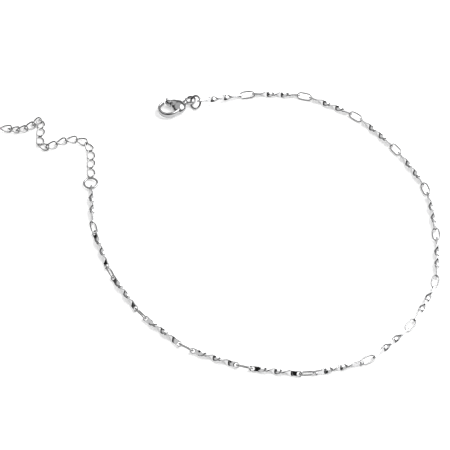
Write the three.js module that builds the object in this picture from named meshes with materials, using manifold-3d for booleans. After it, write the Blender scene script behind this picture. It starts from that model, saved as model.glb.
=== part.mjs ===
import * as THREE from "three";
import { mergeVertices } from "three/addons/utils/BufferGeometryUtils.js";
import Module from "manifold-3d";

const wasm = await Module();
wasm.setup();

// Twisted bar: a flat strip turned once about its length, with a rounded, holed plate at each end
const BAR_PITCH = 10.85; // hole to hole
const BAR_WIDTH = 1.45;
const BAR_THICK = 0.4;
const BAR_TIP = 0.85; // from a hole's centre to the end of its plate
const BAR_HOLE_RADIUS = 0.47;
const BAR_HEIGHT = 0.77; // of its axis above the table
const TWIST_LENGTH = 8.1;
const TWIST_DEGREES = -360; // left-handed
const TWIST_STEPS = 18;
const TIP_CLEARANCE = 0.01; // keeps the rounding of the tips off the strip's long edges

// Oval wire link between two bars, drawn out to its outer size
const OVAL_LENGTH = 4.21;
const OVAL_WIDTH = 2.1;
const OVAL_WIRE = 0.4;
const OVAL_PULL = 0.06; // how far each bar's hole lies beyond the middle of the oval's wire

// Round jump rings at the two ends of the chain
const RING_RADIUS = 1.65; // to the middle of the wire
const RING_WIRE = 0.55;
const RING_PULL = 0.03;
const END_RING_HEIGHT = 0.7;

// Lie of the chain on the table, from the clasp: heading of each bar, counted anticlockwise from +X, how far
// its end plates lean from upright, and how steeply it comes down. An oval lies halfway between its two bars.
const BARS = [
  { heading: 19.5, lean: 30, dip: 10 },
  { heading: -2, lean: 40, dip: 0 },
  { heading: -29, lean: 46, dip: 0 },
  { heading: -50, lean: 28, dip: 0 },
  { heading: -62, lean: 28, dip: 0 },
  { heading: -84, lean: 25, dip: 0 },
  { heading: -93, lean: -2, dip: 0 },
  { heading: -117, lean: -26, dip: 0 },
  { heading: -135, lean: -28, dip: 0 },
  { heading: -165, lean: 8, dip: 0 },
  { heading: -188, lean: 46, dip: 0 },
  { heading: -202, lean: 52, dip: 0 },
  { heading: -223, lean: 58, dip: 0 },
  { heading: -239, lean: 47, dip: 0 },
  { heading: -252, lean: 50, dip: 0 },
  { heading: -266, lean: 14, dip: 0 },
];
const CHAIN_START = { x: -6.3, y: 39.1 }; // the first bar's hole in the clasp ring
const MIDDLE = { x: -2.12, y: -1.29 }; // middle of the whole piece's outline, which becomes the origin

// Clasp ring: leans over the clasp's tail with its lower edge on the table
const CLASP_RING_AT = { x: -7.52, y: 39.57 };
const CLASP_RING_TILT = 54.9; // of its axis from upright
const CLASP_RING_TURN = 216.1; // heading of that lean

// Clasp, drawn in its own frame: x from the tail to the tip, y across, z up from the flat underside
const CLASP_AT = { x: -7.54, y: 40.9 };
const CLASP_HEADING = 194.3;
const CLASP_THICK = 2.5;
const BULB = { x: 4.75, y: 1.35, length: 3.6, width: 4.4, height: 2.9 };
const NECK = { x: 3.2, y: 0.5, length: 1.7, width: 1.5, height: 1.4 };
const EYE = { x: 1.37, length: 2.74, width: 2.34, thick: 0.8, rim: 0.38 };
const HOOK_WIDTH = 0.76;
const HOOK_HEIGHT = 1.4;
const HOOK_ROUTE = [
  [4.9, 2.7],
  [6.2, 3.5],
  [7.6, 3.68],
  [8.9, 3.15],
  [9.6, 2.05],
  [9.62, 0.75],
  [9, -0.2],
  [8.15, -0.55],
];
const HOOK_STEPS = 22;

// Lever in the clasp's slot, with its pin
const PIVOT = { x: 4.5, y: 0.2 };
const PIN_RADIUS = 0.3;
const PIN_CLEARANCE = 0.08;
const HUB_RADIUS = 0.8;
const LEVER_THICK = 0.9;
const SLOT_GAP = 0.1; // above and below the lever
const SLOT = { back: 3.4, front: 8, far: -4, near: 1.65 };

// Extender: fine chain as one tube, with the joints of its links as the route
const EXTENDER_THICK = 1.2;
const EXTENDER_STEPS = 34;
const EXTENDER_ROUTE = [
  [-33.25, 15.25],
  [-33.5, 18],
  [-33.5, 20.85],
  [-33.75, 23.8],
  [-34.75, 26.4],
  [-37.45, 27.85],
  [-40.1, 27.5],
  [-42.5, 26.15],
  [-44.9, 24.95],
  [-46.5, 25.85],
  [-46.75, 28.55],
  [-46.55, 31.4],
  [-47, 34.5],
  [-48.55, 32.8],
  [-50.4, 31.5],
  [-52.5, 30.95],
  [-54.3, 31.3],
  [-56.6, 31.6],
];

const CIRCLE_SIDES = 12;
const ARC_STEPS = 5; // for each quarter of an outline's curves
const OUTLINE_STEPS = 20;

// Solids
function solid(geometry) {
  const bare = geometry.clone();
  bare.deleteAttribute("normal");
  bare.deleteAttribute("uv");
  const merged = mergeVertices(bare, 1e-5);
  return new wasm.Manifold(
    new wasm.Mesh({
      numProp: 3,
      vertProperties: merged.attributes.position.array,
      triVerts: new Uint32Array(merged.index.array),
    }),
  );
}

function geometryOf(made) {
  const mesh = made.getMesh();
  const geometry = new THREE.BufferGeometry();
  geometry.setAttribute("position", new THREE.BufferAttribute(mesh.vertProperties, 3));
  geometry.setIndex(new THREE.BufferAttribute(mesh.triVerts, 1));
  return geometry;
}

function box(x0, x1, y0, y1, z0, z1) {
  const geometry = new THREE.BoxGeometry(x1 - x0, y1 - y0, z1 - z0);
  return geometry.translate((x0 + x1) / 2, (y0 + y1) / 2, (z0 + z1) / 2);
}

function ellipsoid({ x, y, length, width, height }, z) {
  const geometry = new THREE.SphereGeometry(0.5, OUTLINE_STEPS, OUTLINE_STEPS / 2);
  return geometry.scale(length, width, height).translate(x, y, z);
}

function plate(shape, thick, middle, curveSegments = ARC_STEPS) {
  const geometry = new THREE.ExtrudeGeometry(shape, {
    depth: thick,
    bevelEnabled: false,
    curveSegments,
  });
  return geometry.translate(0, 0, middle - thick / 2);
}

function circle(x, y, radius) {
  return new THREE.Path().absarc(x, y, radius, 0, 2 * Math.PI, true);
}

// A section swept along a level route: the section's x stands upright and its y lies across the route
function sweep(width, height, sides, points, steps) {
  const across = width / 2 / Math.cos(Math.PI / sides);
  const upright = height / 2 / Math.cos(Math.PI / sides);
  const corners = [];
  for (let i = 0; i < sides; i++) {
    const angle = ((i + 0.5) * 2 * Math.PI) / sides;
    corners.push(new THREE.Vector2(upright * Math.cos(angle), across * Math.sin(angle)));
  }
  return new THREE.ExtrudeGeometry(new THREE.Shape(corners), {
    steps,
    bevelEnabled: false,
    extrudePath: new THREE.CatmullRomCurve3(points),
  });
}

// Twisted bar along X, with its middle at the origin and its end plates upright
function barGeometry() {
  const step = TWIST_LENGTH / TWIST_STEPS;
  const strip = new THREE.BoxGeometry(
    TWIST_LENGTH + 2 * step,
    BAR_THICK,
    BAR_WIDTH,
    TWIST_STEPS + 2,
    1,
    1,
  );
  const point = new THREE.Vector3();
  const place = strip.attributes.position;
  for (let i = 0; i < place.count; i++) {
    point.fromBufferAttribute(place, i);
    const share = THREE.MathUtils.clamp(point.x / TWIST_LENGTH + 0.5, 0, 1);
    point.applyAxisAngle(new THREE.Vector3(1, 0, 0), THREE.MathUtils.degToRad(TWIST_DEGREES * share));
    if (Math.abs(point.x) > TWIST_LENGTH / 2 + step / 2) {
      point.x = Math.sign(point.x) * BAR_PITCH; // flat ends, which the rounding below cuts to length
    }
    place.setXYZ(i, point.x, point.y, point.z);
  }
  const half = BAR_WIDTH / 2 + TIP_CLEARANCE;
  const end = BAR_PITCH / 2 + BAR_TIP - half;
  const outline = new THREE.Shape();
  outline.absarc(end, 0, half, -Math.PI / 2, Math.PI / 2, false);
  outline.absarc(-end, 0, half, Math.PI / 2, (3 * Math.PI) / 2, false);
  const rounding = plate(outline, 2 * BAR_WIDTH, 0).rotateX(Math.PI / 2);
  let made = solid(strip).intersect(solid(rounding));
  for (const x of [-BAR_PITCH / 2, BAR_PITCH / 2]) {
    const hole = new THREE.CylinderGeometry(BAR_HOLE_RADIUS, BAR_HOLE_RADIUS, BAR_WIDTH, CIRCLE_SIDES);
    made = made.subtract(solid(hole.translate(x, 0, 0)));
  }
  return geometryOf(made);
}

// Ring of round wire in the XY plane, its two halves pulled apart along X
function wireRing(radius, wire, pull, steps) {
  const geometry = new THREE.TorusGeometry(radius, wire / 2, 6, steps);
  const place = geometry.attributes.position;
  for (let i = 0; i < place.count; i++) {
    place.setX(i, place.getX(i) + Math.sign(place.getX(i)) * pull);
  }
  return geometry;
}

// Clasp body: tail eye, neck, slotted bulb, hook and hinge pin in one
function claspBodyGeometry() {
  const middle = CLASP_THICK / 2;
  const opening = LEVER_THICK / 2 + SLOT_GAP;
  const slab = box(-1, 12, -6, 8, 0, CLASP_THICK);
  const slot = box(SLOT.back, SLOT.front, SLOT.far, SLOT.near, middle - opening, middle + opening);
  const bulb = solid(ellipsoid(BULB, middle)).intersect(solid(slab)).subtract(solid(slot));

  const eye = new THREE.Shape();
  eye.absellipse(EYE.x, 0, EYE.length / 2, EYE.width / 2, 0, 2 * Math.PI, false);
  const hole = new THREE.Path();
  hole.absellipse(EYE.x, 0, EYE.length / 2 - EYE.rim, EYE.width / 2 - EYE.rim, 0, 2 * Math.PI, true);
  eye.holes.push(hole);

  const route = HOOK_ROUTE.map(([x, y]) => new THREE.Vector3(x, y, middle));
  const hook = sweep(HOOK_WIDTH, HOOK_HEIGHT, 10, route, HOOK_STEPS);
  const pin = new THREE.CylinderGeometry(PIN_RADIUS, PIN_RADIUS, CLASP_THICK - 0.8, CIRCLE_SIDES);
  pin.rotateX(Math.PI / 2).translate(PIVOT.x, PIVOT.y, middle);
  return geometryOf(
    bulb
      .add(solid(ellipsoid(NECK, middle)))
      .subtract(solid(slot))
      .add(solid(plate(eye, EYE.thick, middle, CIRCLE_SIDES)))
      .add(solid(hook))
      .add(solid(pin)),
  );
}

// Lever: hub on the pin, gate along the far side of the hook's opening, thumb nub on its outer edge
function claspLeverGeometry() {
  const shape = new THREE.Shape();
  shape.absarc(PIVOT.x, PIVOT.y, HUB_RADIUS, 0.35 * Math.PI, 1.42 * Math.PI, false);
  shape.lineTo(5.6, -0.85);
  shape.lineTo(6.45, -1.05);
  shape.quadraticCurveTo(6.55, -1.85, 6.95, -1.9);
  shape.quadraticCurveTo(7.4, -1.85, 7.35, -1.15);
  shape.lineTo(7.62, -0.9);
  shape.lineTo(7.66, -0.3);
  shape.lineTo(7.2, -0.08);
  shape.quadraticCurveTo(6.2, 0, 5.4, 0.65);
  shape.holes.push(circle(PIVOT.x, PIVOT.y, PIN_RADIUS + PIN_CLEARANCE));
  return plate(shape, LEVER_THICK, CLASP_THICK / 2);
}

function extenderGeometry() {
  const height = EXTENDER_THICK / 2;
  const route = EXTENDER_ROUTE.map(([x, y]) => new THREE.Vector3(x, y, height));
  return sweep(EXTENDER_THICK, EXTENDER_THICK, 8, route, EXTENDER_STEPS);
}

// Materials
function polishedSteel() {
  return new THREE.MeshStandardMaterial({ color: 0xc9c9cc, roughness: 0.15, metalness: 1 });
}

function fineChainSteel() {
  return new THREE.MeshStandardMaterial({ color: 0xb9b9be, roughness: 0.3, metalness: 1 });
}

// Assembly
const anklet = new THREE.Group();
const laid = new THREE.Group();
laid.position.set(-MIDDLE.x, -MIDDLE.y, 0);
anklet.add(laid);

function add(name, geometry, material, group = laid) {
  const mesh = new THREE.Mesh(geometry, material);
  mesh.name = name;
  group.add(mesh);
  return mesh;
}

// Turns a piece about its own length, then dips it, then heads it
function aim(mesh, heading, dip, lean) {
  const radians = [lean, dip, heading].map((angle) => THREE.MathUtils.degToRad(angle));
  mesh.rotation.set(...radians, "ZYX");
  return new THREE.Vector3(1, 0, 0).applyEuler(mesh.rotation);
}

// Lays the bars and ovals one after another and returns the last hole and the last heading
function layChain() {
  const bar = barGeometry();
  const bend = (OVAL_WIDTH - OVAL_WIRE) / 2;
  const reach = (OVAL_LENGTH - OVAL_WIRE) / 2;
  const oval = wireRing(bend, OVAL_WIRE, reach - bend, 14);
  const drop = BAR_PITCH * Math.sin(THREE.MathUtils.degToRad(BARS[0].dip));
  const hole = new THREE.Vector3(CHAIN_START.x, CHAIN_START.y, BAR_HEIGHT + drop);
  let along;
  BARS.forEach((lie, i) => {
    const number = String(i + 1).padStart(2, "0");
    const piece = add("bar_" + number, bar, polishedSteel());
    along = aim(piece, lie.heading, lie.dip, lie.lean);
    piece.position.copy(hole).addScaledVector(along, BAR_PITCH / 2);
    hole.addScaledVector(along, BAR_PITCH);
    const next = BARS[i + 1];
    if (!next) return;
    const link = add("oval_" + number, oval, polishedSteel());
    const lean = (lie.lean + next.lean) / 2;
    const span = aim(link, (lie.heading + next.heading) / 2, 0, lean);
    link.position.copy(hole).addScaledVector(span, reach + OVAL_PULL);
    const rise = bend * Math.abs(Math.sin(THREE.MathUtils.degToRad(lean))) + OVAL_WIRE / 2;
    link.position.z = Math.max(BAR_HEIGHT, rise);
    hole.addScaledVector(span, 2 * (reach + OVAL_PULL));
  });
  return { hole, along };
}

function addRings(last) {
  const ring = wireRing(RING_RADIUS, RING_WIRE, 0, 18);
  const claspRing = add("clasp_ring", ring, polishedSteel());
  aim(claspRing, CLASP_RING_TURN, CLASP_RING_TILT, 0);
  const stand = RING_RADIUS * Math.sin(THREE.MathUtils.degToRad(CLASP_RING_TILT));
  claspRing.position.set(CLASP_RING_AT.x, CLASP_RING_AT.y, stand + RING_WIRE / 2);

  const endRing = add("end_ring", ring, polishedSteel());
  endRing.position.copy(last.hole).addScaledVector(last.along, RING_RADIUS + RING_PULL);
  endRing.position.z = END_RING_HEIGHT;
}

function addClasp() {
  const clasp = new THREE.Group();
  clasp.position.set(CLASP_AT.x, CLASP_AT.y, 0);
  clasp.rotation.z = THREE.MathUtils.degToRad(CLASP_HEADING);
  laid.add(clasp);
  add("clasp_body", claspBodyGeometry(), polishedSteel(), clasp);
  add("clasp_lever", claspLeverGeometry(), polishedSteel(), clasp);
}

addRings(layChain());
addClasp();
add("extender_chain", extenderGeometry(), fineChainSteel());

export default anklet;
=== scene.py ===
import math

import bmesh
import bpy
from mathutils import Matrix, Vector


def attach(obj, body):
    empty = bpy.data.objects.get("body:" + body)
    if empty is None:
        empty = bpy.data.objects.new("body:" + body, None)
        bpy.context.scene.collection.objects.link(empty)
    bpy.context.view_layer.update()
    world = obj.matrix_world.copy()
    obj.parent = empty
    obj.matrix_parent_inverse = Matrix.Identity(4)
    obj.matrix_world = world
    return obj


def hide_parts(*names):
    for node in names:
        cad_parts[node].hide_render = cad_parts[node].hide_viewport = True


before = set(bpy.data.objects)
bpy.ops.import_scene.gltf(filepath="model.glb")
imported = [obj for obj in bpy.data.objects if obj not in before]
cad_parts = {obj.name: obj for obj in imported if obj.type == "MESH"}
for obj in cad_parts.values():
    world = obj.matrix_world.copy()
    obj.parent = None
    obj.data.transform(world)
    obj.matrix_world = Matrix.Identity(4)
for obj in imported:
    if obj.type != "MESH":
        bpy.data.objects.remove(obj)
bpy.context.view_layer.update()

scene = bpy.context.scene
mm = 0.001  # sizes below are in mm, the frame is in metres
middle = Vector((2.12, 1.29, 0))  # from the chain's layout origin to the part's own
toPart = Matrix.Scale(mm, 4) @ Matrix.Translation(middle)
quarterTurn, halfTurn = math.pi / 2, math.pi
weldDistance = 0.000001  # metres


# shader wiring: one class wraps a socket, so that maths reads as maths
class Wire:
    def __init__(self, tree, socket):
        self.tree = tree
        self.socket = socket

    def node(self, kind, settings, values, out=0):
        made = self.tree.nodes.new(kind)
        for name, value in settings.items():
            setattr(made, name, value)
        for key, value in values.items():
            if isinstance(value, Wire):
                self.tree.links.new(value.socket, made.inputs[key])
            else:
                made.inputs[key].default_value = value
        return Wire(self.tree, made.outputs[out])

    def maths(self, kind, first, second):
        return self.node("ShaderNodeMath", {"operation": kind}, {0: first, 1: second})

    def __add__(self, other):
        return self.maths("ADD", self, other)

    def __radd__(self, other):
        return self.maths("ADD", other, self)

    def __sub__(self, other):
        return self.maths("SUBTRACT", self, other)

    def __rsub__(self, other):
        return self.maths("SUBTRACT", other, self)

    def __mul__(self, other):
        return self.maths("MULTIPLY", self, other)

    def __rmul__(self, other):
        return self.maths("MULTIPLY", other, self)

    def step(self, low, high):
        return self.node("ShaderNodeMapRange", {"interpolation_type": "SMOOTHSTEP"},
                         {"Value": self, "From Min": low, "From Max": high, "To Min": 0.0, "To Max": 1.0})

    def noise(self, scale, detail):
        place = self.node("ShaderNodeTexCoord", {}, {}, "Object")
        return self.node("ShaderNodeTexNoise", {}, {"Vector": place, "Scale": scale, "Detail": detail})

    def blend(self, dark, light):
        colourOut = 2
        return self.node("ShaderNodeMix", {"data_type": "RGBA"},
                         {"Factor": self, "A": dark, "B": light}, colourOut)

    def along(self, direction):
        return self.node("ShaderNodeVectorMath", {"operation": "DOT_PRODUCT"}, {0: self, 1: direction}, "Value")


def newMaterial(name):
    made = bpy.data.materials.new(name)
    made.use_nodes = True
    return made, made.node_tree, made.node_tree.nodes["Principled BSDF"]


polish = {"smudgeDetail": 3.0, "grainDetail": 4.0, "depth": 0.00001}  # depth of the grain, metres


def steelMaterial(name, look):
    made, tree, shader = newMaterial(name)
    start = Wire(tree, None)
    smudge = start.noise(look["smudgeScale"], polish["smudgeDetail"])
    grain = start.noise(look["grainScale"], polish["grainDetail"])
    tint = smudge.blend(look["dark"], look["light"])
    rough = smudge * look["roughSpread"] + grain * look["roughGrain"] + look["rough"]
    bump = start.node("ShaderNodeBump", {},
                      {"Height": grain, "Strength": look["bump"], "Distance": polish["depth"]})
    tree.links.new(tint.socket, shader.inputs["Base Color"])
    tree.links.new(rough.socket, shader.inputs["Roughness"])
    tree.links.new(bump.socket, shader.inputs["Normal"])
    shader.inputs["Metallic"].default_value = 1.0
    return made


barSteel = steelMaterial("barSteel", {
    "dark": (0.52, 0.52, 0.53, 1), "light": (0.7, 0.7, 0.7, 1), "smudgeScale": 420.0, "grainScale": 9000.0,
    "rough": 0.02, "roughSpread": 0.06, "roughGrain": 0.04, "bump": 0.06})
wireSteel = steelMaterial("wireSteel", {
    "dark": (0.3, 0.3, 0.3, 1), "light": (0.46, 0.46, 0.46, 1), "smudgeScale": 600.0, "grainScale": 12000.0,
    "rough": 0.06, "roughSpread": 0.08, "roughGrain": 0.05, "bump": 0.08})
castSteel = steelMaterial("castSteel", {
    "dark": (0.33, 0.33, 0.34, 1), "light": (0.52, 0.52, 0.52, 1), "smudgeScale": 500.0, "grainScale": 5000.0,
    "rough": 0.05, "roughSpread": 0.06, "roughGrain": 0.05, "bump": 0.1})
fineSteel = steelMaterial("fineSteel", {
    "dark": (0.28, 0.28, 0.28, 1), "light": (0.44, 0.44, 0.44, 1), "smudgeScale": 700.0, "grainScale": 14000.0,
    "rough": 0.09, "roughSpread": 0.08, "roughGrain": 0.06, "bump": 0.1})
print("materials done")


def asObject(name, shape):
    mesh = bpy.data.meshes.new(name)
    shape.to_mesh(mesh)
    shape.free()
    made = bpy.data.objects.new(name, mesh)
    scene.collection.objects.link(made)
    return made


def addShape(whole, part):
    helper = asObject("helper", part)
    whole.from_mesh(helper.data)
    bpy.data.objects.remove(helper)


def finishPiece(name, shape, matrix, look, slot, body, *nodes):
    bmesh.ops.transform(shape, matrix=matrix, verts=shape.verts)
    bmesh.ops.remove_doubles(shape, verts=shape.verts, dist=weldDistance)
    bmesh.ops.recalc_face_normals(shape, faces=shape.faces)
    for face in shape.faces:
        face.smooth = True
    piece = asObject(name, shape)
    piece.data.materials.append(look)
    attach(piece, body)
    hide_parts(*nodes)


def lieMatrix(place, heading, dip, lean):
    turn = Matrix.Rotation(math.radians(heading), 4, "Z") @ Matrix.Rotation(math.radians(dip), 4, "Y")
    return Matrix.Translation(place) @ turn @ Matrix.Rotation(math.radians(lean), 4, "X")


def onlyVerts(items):
    return [item for item in items if isinstance(item, bmesh.types.BMVert)]


def edgesOf(verts):
    # each edge once, in the same order on every run
    return list(dict.fromkeys(edge for vert in verts for edge in vert.link_edges))


def closeHoles(shape):
    bmesh.ops.holes_fill(shape, edges=[edge for edge in shape.edges if edge.is_boundary])


def wireLoop(loop):
    # a round loop of wire, drawn out to an oval along X when it has a stretch
    shape = bmesh.new()
    steps, stretch, sideCuts = loop["steps"], loop["stretch"], 8
    section = Matrix.Rotation(math.pi / steps, 4, "Z") @ Matrix.Translation((0, loop["bend"], 0))
    section = section @ Matrix.Rotation(quarterTurn, 4, "Y")
    section = section @ Matrix.Diagonal((loop["tall"], loop["wide"], 1, 1))
    rim = bmesh.ops.create_circle(shape, segments=loop["sides"], radius=0.5, matrix=section)["verts"]
    closed = loop["seam"] == 0
    bmesh.ops.spin(shape, geom=rim + edgesOf(rim), cent=(0, 0, 0), axis=(0, 0, 1), steps=steps,
                   use_merge=closed, angle=math.radians(360 - loop["seam"]))
    if not closed:
        closeHoles(shape)
    if stretch > 0:
        for side in (1, -1):
            half = [vert for vert in shape.verts if vert.co.x * side > 0]
            bmesh.ops.translate(shape, verts=half, vec=(side * stretch, 0, 0))
        crossing = [edge for edge in shape.edges if abs(edge.verts[0].co.x - edge.verts[1].co.x) > stretch]
        bmesh.ops.subdivide_edges(shape, edges=crossing, cuts=sideCuts, use_grid_fill=True)
        reach = loop["bend"] + stretch
        for vert in shape.verts:  # sides that bow a little, not quite straight
            vert.co.y *= 1 - loop["bow"] * (vert.co.x / reach) ** 2
    return shape


def twistColumns(shape, turnAt):
    # turns each set of points that share an x about the X axis
    columns = {}
    for vert in shape.verts:
        columns.setdefault(round(vert.co.x, 4), []).append(vert)
    for x, column in columns.items():
        bmesh.ops.rotate(shape, verts=column, matrix=Matrix.Rotation(turnAt(x), 3, "X"))


# twisted bars
bar = {"pitch": 10.85, "wide": 1.45, "thick": 0.4, "tip": 0.85, "hole": 0.47, "height": 0.77,
       "twisted": 8.1, "turn": -360.0, "ease": 0.2, "columns": 90, "rows": 16, "plateCuts": 2,
       "edgeRound": 0.09, "edgeSteps": 3, "near": 0.001, "sharpFrom": 1.0}


def barTurn(x):
    t = min(max(x / bar["twisted"] + 0.5, 0.0), 1.0)
    return math.radians(bar["turn"]) * (t - bar["ease"] * math.sin(2 * math.pi * t) / (2 * math.pi))


def endPlate(shape, side):
    # a plate round a hole, square where it meets the strip
    halfWide, halfLong, holeAt = bar["wide"] / 2, bar["twisted"] / 2, bar["pitch"] / 2
    endAt = holeAt + bar["tip"] - halfWide
    inner = bmesh.ops.create_circle(shape, segments=2 * bar["rows"], radius=bar["hole"])["verts"]
    outer = onlyVerts(bmesh.ops.extrude_edge_only(shape, edges=edgesOf(inner))["geom"])
    for vert in outer:
        angle = math.atan2(vert.co.y, vert.co.x)
        if abs(angle) <= quarterTurn + bar["near"]:
            vert.co = Vector((endAt - holeAt + halfWide * math.cos(angle), halfWide * math.sin(angle), 0))
        else:
            across = math.copysign(2 - 2 * abs(angle) / math.pi, angle)
            vert.co = Vector((halfLong - holeAt, halfWide * across, 0))
    bmesh.ops.translate(shape, verts=inner + outer, vec=(holeAt, 0, 0))
    if side < 0:
        bmesh.ops.rotate(shape, verts=inner + outer, matrix=Matrix.Rotation(halfTurn, 3, "Z"))


def barShape():
    shape = bmesh.new()
    halfWide, halfLong, near = bar["wide"] / 2, bar["twisted"] / 2, bar["near"]
    bmesh.ops.create_grid(shape, x_segments=bar["columns"], y_segments=bar["rows"], size=1,
                          matrix=Matrix.Diagonal((halfLong, halfWide, 1, 1)))
    for side in (1, -1):
        endPlate(shape, side)
    bmesh.ops.remove_doubles(shape, verts=shape.verts, dist=near)
    spokes = [edge for edge in shape.edges if len(edge.link_faces) == 2
              and min(abs(v.co.x) for v in edge.verts) > halfLong - near
              and max(abs(v.co.x) for v in edge.verts) > halfLong + near]
    bmesh.ops.subdivide_edges(shape, edges=spokes, cuts=bar["plateCuts"], use_grid_fill=True)
    bmesh.ops.recalc_face_normals(shape, faces=shape.faces)
    bmesh.ops.solidify(shape, geom=shape.faces[:], thickness=bar["thick"])
    heights = [vert.co.z for vert in shape.verts]
    bmesh.ops.translate(shape, verts=shape.verts, vec=(0, 0, -(min(heights) + max(heights)) / 2))
    sharp = [edge for edge in shape.edges
             if len(edge.link_faces) == 2 and edge.calc_face_angle() > bar["sharpFrom"]]
    bmesh.ops.bevel(shape, geom=sharp, offset=bar["edgeRound"], offset_type="OFFSET",
                    segments=bar["edgeSteps"], profile=0.5, affect="EDGES", material=-1)
    bmesh.ops.rotate(shape, verts=shape.verts, matrix=Matrix.Rotation(quarterTurn, 3, "X"))
    twistColumns(shape, barTurn)
    return shape


oval = {"bend": 0.85, "stretch": 1.055, "tall": 0.4, "wide": 0.4, "sides": 14, "steps": 36, "seam": 0,
        "bow": 0.2, "reach": 1.905, "pull": 0.06}
chainStart = (-6.3, 39.1)
# heading, lean and dip of each bar along the chain from the clasp, degrees
barLies = [(19.5, 30, 10), (-2, 40, 0), (-29, 46, 0), (-50, 28, 0), (-62, 28, 0), (-84, 25, 0), (-93, -2, 0),
           (-117, -26, 0), (-135, -28, 0), (-165, 8, 0), (-188, 46, 0), (-202, 52, 0), (-223, 58, 0),
           (-239, 47, 0), (-252, 50, 0), (-266, 14, 0)]
hole = Vector((*chainStart, bar["height"] + bar["pitch"] * math.sin(math.radians(barLies[0][2]))))
barModel = barShape()
for index, (heading, lean, dip) in enumerate(barLies):
    lie = lieMatrix(hole, heading, dip, lean)
    along = lie.to_3x3() @ Vector((1, 0, 0))
    lie.translation = hole + along * bar["pitch"] / 2
    number = f"{index + 1:02d}"
    finishPiece("twistedBar" + number, barModel.copy(), toPart @ lie, barSteel, "polished_steel", "anklet",
                "bar_" + number)
    hole = hole + along * bar["pitch"]
    if index + 1 == len(barLies):
        break
    nextHeading, nextLean, _ = barLies[index + 1]  # an oval lies halfway between its two bars
    ovalLean = (lean + nextLean) / 2
    lie = lieMatrix(hole, (heading + nextHeading) / 2, 0, ovalLean)
    span = lie.to_3x3() @ Vector((1, 0, 0)) * (oval["reach"] + oval["pull"])
    centre = hole + span
    tilt = abs(math.sin(math.radians(ovalLean)))
    centre.z = max(bar["height"], oval["bend"] * tilt + oval["wide"] / 2)
    lie.translation = centre
    finishPiece("ovalLink" + number, wireLoop(oval), toPart @ lie, wireSteel, "polished_steel", "anklet",
                "oval_" + number)
    hole = hole + 2 * span
barModel.free()
print("bars and ovals done")

# jump rings, each with the fine seam where the wire was closed
ring = {"bend": 1.65, "stretch": 0, "tall": 0.55, "wide": 0.55, "sides": 18, "steps": 64, "seam": 3.0}
claspRing = {"place": (-7.52, 39.57, 1.625), "lean": 54.9, "heading": 216.1, "seamAt": 60.0}
endRing = {"pull": 0.03, "height": 0.7, "seamAt": 150.0}
lie = lieMatrix(Vector(claspRing["place"]), claspRing["heading"], claspRing["lean"], 0)
lie = lie @ Matrix.Rotation(math.radians(claspRing["seamAt"]), 4, "Z")
finishPiece("claspJumpRing", wireLoop(ring), toPart @ lie, wireSteel, "polished_steel", "anklet", "clasp_ring")
ringCentre = hole + along * (ring["bend"] + endRing["pull"])
ringCentre.z = endRing["height"]
lie = lieMatrix(ringCentre, endRing["seamAt"], 0, 0)
finishPiece("endJumpRing", wireLoop(ring), toPart @ lie, wireSteel, "polished_steel", "anklet", "end_ring")
print("jump rings done")

# extender of fine twisted links, one after another along the line where it lies
extender = {"bend": 0.89, "stretch": 0.625, "tall": 0.42, "wide": 0.42, "sides": 12, "steps": 32, "seam": 0,
            "bow": 0.08, "twist": 74.0, "rolls": (6.0, -8.0, 4.0, 10.0, -6.0, 0.0), "lift": 0.01}
extenderRoute = [(-33.25, 15.1), (-33.5, 18), (-33.5, 20.85), (-33.75, 23.8), (-34.75, 26.4), (-37.45, 27.85),
                 (-40.1, 27.5), (-42.5, 26.15), (-44.9, 24.95), (-46.5, 25.85), (-46.75, 28.55), (-46.55, 31.4),
                 (-47, 34.5), (-48.55, 32.8), (-50.4, 31.5), (-52.5, 30.95), (-54.3, 31.3), (-56.6, 31.6)]


def linkTurn(x):
    return math.radians(extender["twist"]) * x / (2 * (extender["bend"] + extender["stretch"]))


links = bmesh.new()
for index, (start, end) in enumerate(zip(extenderRoute, extenderRoute[1:])):
    heading = math.degrees(math.atan2(end[1] - start[1], end[0] - start[0]))
    roll = extender["rolls"][index % len(extender["rolls"])]
    centre = Vector(((start[0] + end[0]) / 2, (start[1] + end[1]) / 2, 0))
    link = wireLoop(extender)
    twistColumns(link, linkTurn)
    bmesh.ops.transform(link, matrix=lieMatrix(centre, heading, 0, roll), verts=link.verts)
    lowest = min(vert.co.z for vert in link.verts)
    bmesh.ops.translate(link, verts=link.verts, vec=(0, 0, extender["lift"] - lowest))
    addShape(links, link)
finishPiece("extenderLinks", links, toPart, fineSteel, "fine_chain", "anklet", "extender_chain")
print("extender done")

# lobster clasp, in its own frame: x from the tail to the tip, y across, z up from its flat underside
clasp = {"at": (-7.54, 40.9, 0), "heading": 194.3, "thick": 2.5, "voxel": 0.07, "rounds": 12,
         "bulbAt": (4.75, 1.35, 1.22), "bulbSize": (3.6, 4.4, 2.6), "bulbSteps": (64, 40),
         "neck": [(2.3, 0.1), (3.0, 0.4), (3.7, 0.8), (4.4, 1.2)], "neckCuts": 6,
         "neckWide": (1.25, 3.4), "neckTall": (1.05, 2.3),
         "cheek": [(4.6, 1.2), (5.2, 0.65), (5.8, 0.1), (6.3, -0.25)], "cheekCuts": 5,
         "cheekWide": (3.3, 1.85), "cheekTall": (2.4, 2.1),
         "eyeAt": (1.37, 0, 1.25), "eyeSize": (3.06, 2.66), "rim": 0.54, "eyeThick": 1.2,
         "hook": [(4.6, 2.5), (4.9, 2.7), (6.2, 3.5), (7.6, 3.7), (8.95, 3.2), (9.72, 2.1), (9.75, 0.75),
                  (9.1, -0.25), (8.42, -0.6)], "hookCuts": 8,
         "hookWide": (1.0, 0.78), "hookTall": (1.75, 1.35),
         "slotFrom": (3.4, -4, 0.7), "slotTo": (8, 1.65, 1.8), "pivot": (4.5, 0.2), "pin": 0.3, "pinSeat": 0.4,
         "clearFrom": 1.74, "clearTo": 3.4, "clearTurn": (-60.0, 40.0), "clearSteps": 40, "past": 1}
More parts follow.
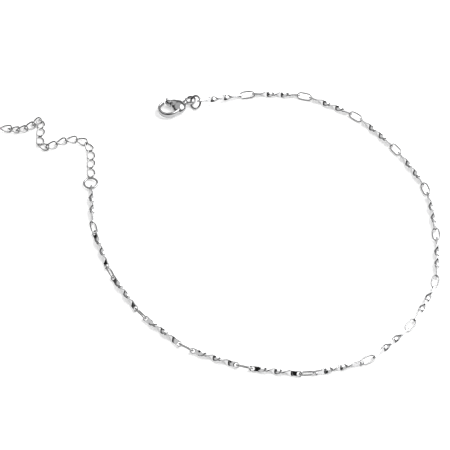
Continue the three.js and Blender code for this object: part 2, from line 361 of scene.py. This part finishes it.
claspLie = toPart @ lieMatrix(Vector(clasp["at"]), clasp["heading"], 0, 0)


def smoothRoute(points, cuts):
    # a curve through the points
    fine = []
    for i in range(len(points) - 1):
        before, here = Vector(points[max(i - 1, 0)]), Vector(points[i])
        there, after = Vector(points[i + 1]), Vector(points[min(i + 2, len(points) - 1)])
        bend = 2 * before - 5 * here + 4 * there - after
        swing = 3 * here - before - 3 * there + after
        for step in range(cuts):
            t = step / cuts
            fine.append(0.5 * (2 * here + (there - before) * t + bend * t * t + swing * t ** 3))
    return fine + [Vector(points[-1])]


def baked(item):
    # the mesh with its modifiers worked in, and the helper object gone
    bpy.context.view_layer.update()
    shape = bmesh.new()
    shape.from_object(item, bpy.context.evaluated_depsgraph_get())
    bpy.data.objects.remove(item)
    return shape


def combine(shape, tool, operation):
    base, other = asObject("base", shape), asObject("tool", tool)
    work = base.modifiers.new("work", "BOOLEAN")
    work.operation = operation
    work.solver = "EXACT"
    work.use_self = True
    work.object = other
    result = baked(base)
    bpy.data.objects.remove(other)
    return result


def pivotPost(radius, low, high):
    shape = bmesh.new()
    postSides = 40
    bmesh.ops.create_cone(shape, cap_ends=True, segments=postSides, radius1=radius, radius2=radius,
                          depth=high - low, matrix=Matrix.Translation((*clasp["pivot"], (low + high) / 2)))
    return shape


def pivotArc(radius, turnFrom, turnTo, steps):
    x, y = clasp["pivot"]
    angles = [math.radians(turnFrom + (turnTo - turnFrom) * i / steps) for i in range(steps + 1)]
    return [(x + radius * math.cos(angle), y + radius * math.sin(angle)) for angle in angles]


def pebble(shape, place, size, around, upward):
    # an ellipsoid
    bmesh.ops.create_uvsphere(shape, u_segments=around, v_segments=upward, radius=0.5,
                              matrix=Matrix.Translation(place) @ Matrix.Diagonal((*size, 1)))


def sweptBar(shape, route, wide, tall):
    # a bar of oval section along the route, with a round nose at its end
    last, rim = None, []
    sides, noseRows = 32, 16
    for i, point in enumerate(route):
        ahead = route[min(i + 1, len(route) - 1)] - route[max(i - 1, 0)]
        share = (i / (len(route) - 1)) ** 2
        size = (wide[0] + (wide[1] - wide[0]) * share, tall[0] + (tall[1] - tall[0]) * share)
        station = Matrix.Translation((point.x, point.y, clasp["thick"] / 2))
        station = station @ Matrix.Rotation(math.atan2(ahead.y, ahead.x), 4, "Z")
        station = station @ Matrix.Diagonal((min(size), *size, 1)) @ Matrix.Rotation(quarterTurn, 4, "Y")
        if last is None:
            rim = bmesh.ops.create_circle(shape, segments=sides, radius=0.5, matrix=station)["verts"]
        else:
            edges = [edge for edge in edgesOf(rim) if all(vert in rim for vert in edge.verts)]
            rim = onlyVerts(bmesh.ops.extrude_edge_only(shape, edges=edges)["geom"])
            bmesh.ops.transform(shape, matrix=station @ last.inverted(), verts=rim)
        last = station
    closeHoles(shape)
    bmesh.ops.create_uvsphere(shape, u_segments=sides, v_segments=noseRows, radius=0.5, matrix=last)


def leverRoom():
    # part of a ring about the pivot, spun from its own section
    shape = bmesh.new()
    inner, outer = clasp["clearFrom"], clasp["clearTo"]
    turnFrom, turnTo = clasp["clearTurn"]
    low, high = -clasp["past"], clasp["thick"] + clasp["past"]
    section = Matrix.Translation((*clasp["pivot"], (low + high) / 2))
    section = section @ Matrix.Rotation(math.radians(turnFrom), 4, "Z")
    section = section @ Matrix.Translation(((inner + outer) / 2, 0, 0))
    section = section @ Matrix.Diagonal((outer - inner, 1, high - low, 1))
    section = section @ Matrix.Rotation(quarterTurn, 4, "X")
    corners = bmesh.ops.create_grid(shape, x_segments=1, y_segments=1, size=0.5, matrix=section)["verts"]
    edges = edgesOf(corners)
    bmesh.ops.delete(shape, geom=shape.faces[:], context="FACES_ONLY")
    bmesh.ops.spin(shape, geom=corners + edges, cent=(*clasp["pivot"], 0), axis=(0, 0, 1),
                   steps=clasp["clearSteps"], use_merge=False, angle=math.radians(turnTo - turnFrom))
    closeHoles(shape)
    bmesh.ops.recalc_face_normals(shape, faces=shape.faces)
    return shape


def leverSlot():
    start, end = Vector(clasp["slotFrom"]), Vector(clasp["slotTo"])
    shape = bmesh.new()
    bmesh.ops.create_cube(shape, size=1, matrix=Matrix.Translation((start + end) / 2)
                          @ Matrix.Diagonal((*(end - start), 1)))
    return shape


def castSmooth(shape, voxel, rounds):
    # runs the overlapping parts together and softens them, as a casting comes out
    cast = asObject("cast", shape)
    remesh = cast.modifiers.new("remesh", "REMESH")
    remesh.mode = "VOXEL"
    remesh.voxel_size = voxel
    shape = baked(cast)
    for _ in range(rounds):
        bmesh.ops.smooth_vert(shape, verts=shape.verts, factor=0.5, use_axis_x=True, use_axis_y=True,
                              use_axis_z=True)
    return shape


def slab(shape, corners, low, high):
    # an upright plate with this outline
    outline = [shape.verts.new((x, y, low)) for x, y in corners]
    plate = bmesh.ops.contextual_create(shape, geom=outline)["faces"]
    grown = bmesh.ops.extrude_face_region(shape, geom=plate, use_keep_orig=True)["geom"]
    bmesh.ops.translate(shape, verts=onlyVerts(grown), vec=(0, 0, high - low))
    bmesh.ops.recalc_face_normals(shape, faces=shape.faces)


def claspShape():
    shape = bmesh.new()
    pebble(shape, clasp["bulbAt"], clasp["bulbSize"], *clasp["bulbSteps"])
    for height, facing in ((0, -1), (clasp["thick"], 1)):  # ground flat above and below
        bmesh.ops.bisect_plane(shape, geom=shape.verts[:] + shape.edges[:] + shape.faces[:], dist=0.0001,
                               plane_co=(0, 0, height), plane_no=(0, 0, facing), clear_outer=True)
        closeHoles(shape)
    eyeLong, eyeWide = clasp["eyeSize"]
    eye = wireLoop({"bend": (eyeWide - clasp["rim"]) / 2, "stretch": (eyeLong - eyeWide) / 2, "bow": 0,
                    "tall": clasp["eyeThick"], "wide": clasp["rim"], "sides": 24, "steps": 64, "seam": 0})
    bmesh.ops.translate(eye, verts=eye.verts, vec=clasp["eyeAt"])
    addShape(shape, eye)
    for limb in ("neck", "cheek", "hook"):
        route = smoothRoute(clasp[limb], clasp[limb + "Cuts"])
        sweptBar(shape, route, clasp[limb + "Wide"], clasp[limb + "Tall"])
    bmesh.ops.recalc_face_normals(shape, faces=shape.faces)
    shape = castSmooth(shape, clasp["voxel"], clasp["rounds"])
    shape = combine(shape, leverSlot(), "DIFFERENCE")
    shape = combine(shape, leverRoom(), "DIFFERENCE")  # where the lever's thick arm swings past the bulb
    pin = pivotPost(clasp["pin"], clasp["pinSeat"], clasp["thick"] - clasp["pinSeat"])
    return combine(shape, pin, "UNION")


finishPiece("claspBody", claspShape(), claspLie, castSteel, "polished_steel", "anklet", "clasp_body")
print("clasp body done")

# sprung lever: a thin hub in the slot, a full round arm outside it and a thumb nub
lever = {"thick": 0.9, "hub": 0.8, "bore": 0.38, "voxel": 0.06, "rounds": 8,
         "hubFrom": 63.0, "hubTo": 255.0, "hubSteps": 14,
         "nubAt": (7.1, -1.5, 1.45), "nubSize": (0.8, 1.0, 1.1), "nubSteps": (32, 20),
         "web": [(5.6, -0.85), (6.5, -1.0), (7.0, -0.6), (6.5, 0.1), (5.8, 0.38), (5.4, 0.65)],
         "arm": [(6.3, -0.22), (6.7, -0.42), (7.1, -0.62), (7.4, -0.8)], "armCuts": 5,
         "armWide": (1.85, 0.95), "armTall": (2.1, 1.3)}


def leverShape():
    shape = bmesh.new()
    low, high = (clasp["thick"] - lever["thick"]) / 2, (clasp["thick"] + lever["thick"]) / 2
    hub = pivotArc(lever["hub"], lever["hubFrom"], lever["hubTo"], lever["hubSteps"])
    slab(shape, hub + lever["web"], low, high)
    sweptBar(shape, smoothRoute(lever["arm"], lever["armCuts"]), lever["armWide"], lever["armTall"])
    pebble(shape, lever["nubAt"], lever["nubSize"], *lever["nubSteps"])
    shape = castSmooth(shape, lever["voxel"], lever["rounds"])
    return combine(shape, pivotPost(lever["bore"], low - clasp["past"], high + clasp["past"]), "DIFFERENCE")


finishPiece("claspLever", leverShape(), claspLie, castSteel, "polished_steel", "lever", "clasp_lever")
print("lever done")

# table, with a painted glow: it gives off a little light of its own, which washes out the shadows cast on it
table = {"halfSize": 1.5, "dark": (0.9, 0.9, 0.9, 1), "light": (0.93, 0.93, 0.93, 1), "mottleScale": 30.0,
         "mottleDetail": 2.0, "paintedGlow": 0.42, "rough": 0.8, "specular": 0.1}
tableWhite, tree, shader = newMaterial("tableWhite")
white = Wire(tree, None).noise(table["mottleScale"], table["mottleDetail"]).blend(table["dark"], table["light"])
tree.links.new(white.socket, shader.inputs["Base Color"])
tree.links.new(white.socket, shader.inputs["Emission Color"])
# painted glow: the table's own emission lifts the shadows cast on it towards white
shader.inputs["Emission Strength"].default_value = table["paintedGlow"]
shader.inputs["Roughness"].default_value = table["rough"]
shader.inputs["Specular IOR Level"].default_value = table["specular"]
shape = bmesh.new()
bmesh.ops.create_grid(shape, x_segments=1, y_segments=1, size=table["halfSize"])
floor = asObject("table", shape)
floor.data.materials.append(tableWhite)

# studio: pale overhead, dimmer low down, dark round the camera and low at the front left
studio = {"strength": 1.0, "low": 0.24, "high": 0.9, "rise": (0.54, 0.72),
          "towardCamera": (0.0, -0.643, 0.766), "cameraEdge": (0.9, 0.95), "cameraDark": 0.97,
          "leftFront": (-0.75, -0.66, 0.0), "leftEdge": (-0.1, 0.35), "bandTop": (0.28, 0.42), "bandDark": 0.95}
world = bpy.data.worlds.new("studio")
scene.world = world
world.use_nodes = True
tree = world.node_tree
facing = Wire(tree, None).node("ShaderNodeTexCoord", {}, {}, "Generated")
height = facing.node("ShaderNodeSeparateXYZ", {}, {"Vector": facing}, "Z")
lens = facing.along(studio["towardCamera"]).step(*studio["cameraEdge"])
band = (1.0 - height.step(*studio["bandTop"])) * facing.along(studio["leftFront"]).step(*studio["leftEdge"])
sky = studio["low"] + (studio["high"] - studio["low"]) * height.step(*studio["rise"])
bright = sky * (1.0 - lens * studio["cameraDark"]) * (1.0 - band * studio["bandDark"])
tree.links.new(bright.socket, tree.nodes["Background"].inputs["Color"])
tree.nodes["Background"].inputs["Strength"].default_value = studio["strength"]

key = {"at": (0.5, 0.15, 0.6), "size": 0.8, "power": 6.6}
lamp = bpy.data.lights.new("keySoftbox", "AREA")
lamp.shape = "DISK"
lamp.size = key["size"]
lamp.energy = key["power"]
lampObject = bpy.data.objects.new("keySoftbox", lamp)
lampObject.location = key["at"]
lampObject.rotation_euler = (-Vector(key["at"])).to_track_quat("-Z", "Y").to_euler()
scene.collection.objects.link(lampObject)

lensView = {"at": (0.00212, -0.36092, 0.43167), "tilt": 40.0, "focal": 184.0, "sensor": 36.0}
camera = bpy.data.cameras.new("camera")
camera.lens = lensView["focal"]
camera.sensor_width = lensView["sensor"]
camera.dof.use_dof = False
cameraObject = bpy.data.objects.new("camera", camera)
cameraObject.location = lensView["at"]
cameraObject.rotation_euler = (math.radians(lensView["tilt"]), 0, 0)
scene.collection.objects.link(cameraObject)
scene.camera = cameraObject
scene.view_settings.view_transform = "Standard"
print("studio done")
